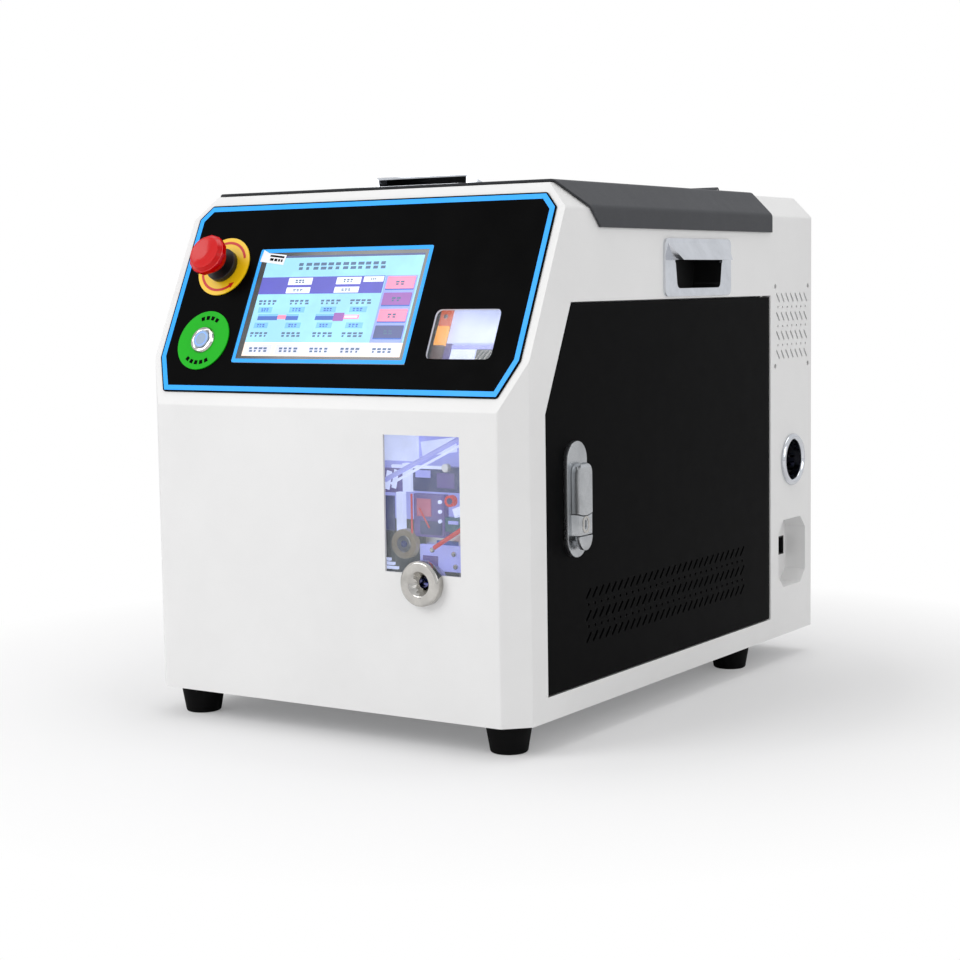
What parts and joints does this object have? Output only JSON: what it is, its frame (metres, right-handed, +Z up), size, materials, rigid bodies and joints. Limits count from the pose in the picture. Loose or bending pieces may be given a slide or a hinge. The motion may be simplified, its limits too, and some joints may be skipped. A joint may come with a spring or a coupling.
{
  "type": "wire terminal crimping machine",
  "caption": "Bench-top machine that strips a wire and crimps a terminal on it: white case with sloped touch panel, stop button, wire inlet, side door, vents and hinged lid.",
  "frame": {"origin": "on the standing surface, under the middle of the housing", "axes": "+Z up, front towards -Y, +X to the right side with the door, seen from the front"},
  "size_m": [0.3823, 0.5304, 0.4376],
  "materials": {
    "white_powder_coat": "white powder coat with fine orange peel",
    "black_powder_coat": "black fine-textured powder coat",
    "charcoal_powder_coat": "charcoal fine-textured powder coat",
    "zinc_plate": "zinc-plated sheet steel",
    "steel_screw": "nickel-plated steel",
    "black_rubber": "matt black rubber",
    "clear_sheet": "clear acrylic sheet",
    "polished_steel": "polished stainless steel",
    "gloss_black": "glossy black panel foil",
    "screen_housing": "dark matt plastic",
    "lit_screen": "glass over a lit display",
    "yellow_foil": "glossy yellow disc",
    "dark_plastic": "dark grey plastic",
    "red_plastic": "glossy red plastic",
    "lit_cap": "translucent white cap",
    "chrome_plate": "bright chrome plate",
    "cast_zinc": "grained cast zinc",
    "light_plastic": "light grey plastic",
    "aluminium_plate": "milled aluminium",
    "tool_steel": "ground tool steel",
    "bronze_ring": "machined bronze",
    "motor_black": "black lacquer",
    "blue_anodised": "blue anodised aluminium",
    "amber_tube": "amber hose",
    "steel_sheet": "bent steel sheet"
  },
  "bodies": {
    "machine": {"housing": "white_powder_coat", "top_sheet": "white_powder_coat", "side_sheets": "white_powder_coat", "housing_frame": "white_powder_coat", "base_pan": "zinc_plate", "rear_panel": "white_powder_coat", "rubber_feet": "black_rubber", "fasteners": "steel_screw", "clear_windows": "clear_sheet", "wire_funnel": "polished_steel", "panel_overlay": "gloss_black", "screen_module": "screen_housing", "screen_glass": "lit_screen", "button_discs": "yellow_foil", "stop_body": "dark_plastic", "power_body": "polished_steel", "side_grips": "chrome_plate", "round_port": "chrome_plate", "recess_box": "white_powder_coat", "power_socket": "dark_plastic", "fan_frame": "dark_plastic", "hinge_pins": "steel_screw", "hinge_leaves": "charcoal_powder_coat", "mech_table": "aluminium_plate", "clamp_frame": "aluminium_plate", "guide_rods": "polished_steel", "step_motor": "motor_black", "crimp_block": "tool_steel", "servo_motor": "motor_black", "feeder_shelf": "steel_sheet", "feeder_drive": "motor_black", "feed_tube": "amber_tube", "power_supply": "steel_sheet", "controller": "dark_plastic", "scrap_tray": "blue_anodised"},
    "door": {"side_door": "black_powder_coat", "lock_base": "cast_zinc"},
    "lid_body": {"lid": "charcoal_powder_coat", "lid_grip": "chrome_plate", "lid_leaves": "charcoal_powder_coat"},
    "rotor": {"lock_rotor": "cast_zinc"},
    "lever": {"lock_lever": "cast_zinc"},
    "lock_push": {"lock_button": "cast_zinc"},
    "stop_rod": {"stop_plunger": "dark_plastic"},
    "stop_mushroom": {"stop_head": "red_plastic"},
    "power_push": {"power_cap": "lit_cap"},
    "fan_wheel": {"fan_rotor": "dark_plastic"},
    "cam": {"cam_ring": "bronze_ring"},
    "die_1": {"crimp_die_1": "tool_steel"},
    "die_2": {"crimp_die_2": "tool_steel"},
    "die_3": {"crimp_die_3": "tool_steel"},
    "die_4": {"crimp_die_4": "tool_steel"},
    "pinion": {"servo_pinion": "polished_steel"},
    "carriage": {"strip_carriage": "aluminium_plate"},
    "screw": {"feed_screw": "polished_steel"},
    "upper_blade": {"blade_upper": "tool_steel"},
    "lower_blade": {"blade_lower": "tool_steel"},
    "upper_jaw": {"clamp_upper": "blue_anodised"},
    "lower_jaw": {"clamp_lower": "blue_anodised"},
    "bowl": {"feeder_bowl": "aluminium_plate"}
  },
  "joints": [
    {"name": "side_door_hinge", "type": "hinge", "parent": "machine", "child": "door", "pos_m": [0.174, 0.16, 0.18], "axis": [0, 0, 1], "range_deg": [0, 110]},
    {"name": "lid_hinge", "type": "hinge", "parent": "machine", "child": "lid_body", "pos_m": [0, 0.1726, 0.4286], "axis": [-1, 0, 0], "range_deg": [0, 100]},
    {"name": "lock_turn", "type": "hinge", "parent": "door", "child": "rotor", "pos_m": [0.185, -0.182, 0.2063], "axis": [1, 0, 0], "range_deg": [0, 90]},
    {"name": "lever_swing", "type": "hinge", "parent": "rotor", "child": "lever", "pos_m": [0.1878, -0.182, 0.2113], "axis": [0, -1, 0], "range_deg": [0, 25]},
    {"name": "lock_button_press", "type": "slide", "parent": "door", "child": "lock_push", "axis": [-1, 0, 0], "range_m": [0, 0.003], "stiffness_N_per_m": 300, "springref_m": -0.003},
    {"name": "stop_press", "type": "slide", "parent": "machine", "child": "stop_rod", "axis": [0, 0.9026, -0.4305], "range_m": [0, 0.004]},
    {"name": "stop_twist", "type": "hinge", "parent": "stop_rod", "child": "stop_mushroom", "pos_m": [-0.132, -0.20791, 0.36521], "axis": [0, -0.9026, 0.4305], "range_deg": [0, 40]},
    {"name": "power_press", "type": "slide", "parent": "machine", "child": "power_push", "axis": [0, 0.9026, -0.4305], "range_m": [0, 0.002], "stiffness_N_per_m": 400, "springref_m": -0.002},
    {"name": "fan_spin", "type": "hinge", "parent": "machine", "child": "fan_wheel", "pos_m": [0.16, 0.215, 0.307], "axis": [1, 0, 0], "continuous": true},
    {"name": "cam_turn", "type": "hinge", "parent": "machine", "child": "cam", "pos_m": [0.0966, -0.154, 0.128], "axis": [0, 1, 0], "range_deg": [0, 24]},
    {"name": "die_1_slide", "type": "slide", "parent": "machine", "child": "die_1", "axis": [-0.7071, 0, -0.7071], "range_m": [0, 0.0021]},
    {"name": "die_2_slide", "type": "slide", "parent": "machine", "child": "die_2", "axis": [0.7071, 0, -0.7071], "range_m": [0, 0.0021]},
    {"name": "die_3_slide", "type": "slide", "parent": "machine", "child": "die_3", "axis": [0.7071, 0, 0.7071], "range_m": [0, 0.0021]},
    {"name": "die_4_slide", "type": "slide", "parent": "machine", "child": "die_4", "axis": [-0.7071, 0, 0.7071], "range_m": [0, 0.0021]},
    {"name": "pinion_turn", "type": "hinge", "parent": "machine", "child": "pinion", "pos_m": [0.0426, -0.154, 0.128], "axis": [0, 1, 0], "range_deg": [-73, 0]},
    {"name": "carriage_slide", "type": "slide", "parent": "machine", "child": "carriage", "axis": [0, 1, 0], "range_m": [0, 0.014]},
    {"name": "screw_turn", "type": "hinge", "parent": "machine", "child": "screw", "pos_m": [0.0966, -0.15, 0.0795], "axis": [0, 1, 0], "range_deg": [0, 1262]},
    {"name": "blade_upper_slide", "type": "slide", "parent": "carriage", "child": "upper_blade", "axis": [0, 0, -1], "range_m": [0, 0.004]},
    {"name": "blade_lower_slide", "type": "slide", "parent": "carriage", "child": "lower_blade", "axis": [0, 0, 1], "range_m": [0, 0.00401]},
    {"name": "jaw_upper_slide", "type": "slide", "parent": "machine", "child": "upper_jaw", "axis": [0, 0, -1], "range_m": [0, 0.003]},
    {"name": "jaw_lower_slide", "type": "slide", "parent": "machine", "child": "lower_jaw", "axis": [0, 0, 1], "range_m": [0, 0.00301]},
    {"name": "bowl_shake", "type": "hinge", "parent": "machine", "child": "bowl", "pos_m": [0.0146, 0.086, 0.32], "axis": [0, 0, 1], "range_deg": [-1, 1], "stiffness_Nm_per_rad": 6}
  ],
  "couplings": [
    {"joint": "die_1_slide", "follows": "cam_turn", "m_per_rad": 0.0047747},
    {"joint": "die_2_slide", "follows": "cam_turn", "m_per_rad": 0.0047747},
    {"joint": "die_3_slide", "follows": "cam_turn", "m_per_rad": 0.0047747},
    {"joint": "die_4_slide", "follows": "cam_turn", "m_per_rad": 0.0047747},
    {"joint": "pinion_turn", "follows": "cam_turn", "ratio": -3},
    {"joint": "screw_turn", "follows": "carriage_slide", "rad_per_m": 1570.8},
    {"joint": "blade_lower_slide", "follows": "blade_upper_slide", "ratio": 1},
    {"joint": "jaw_lower_slide", "follows": "jaw_upper_slide", "ratio": 1}
  ]
}
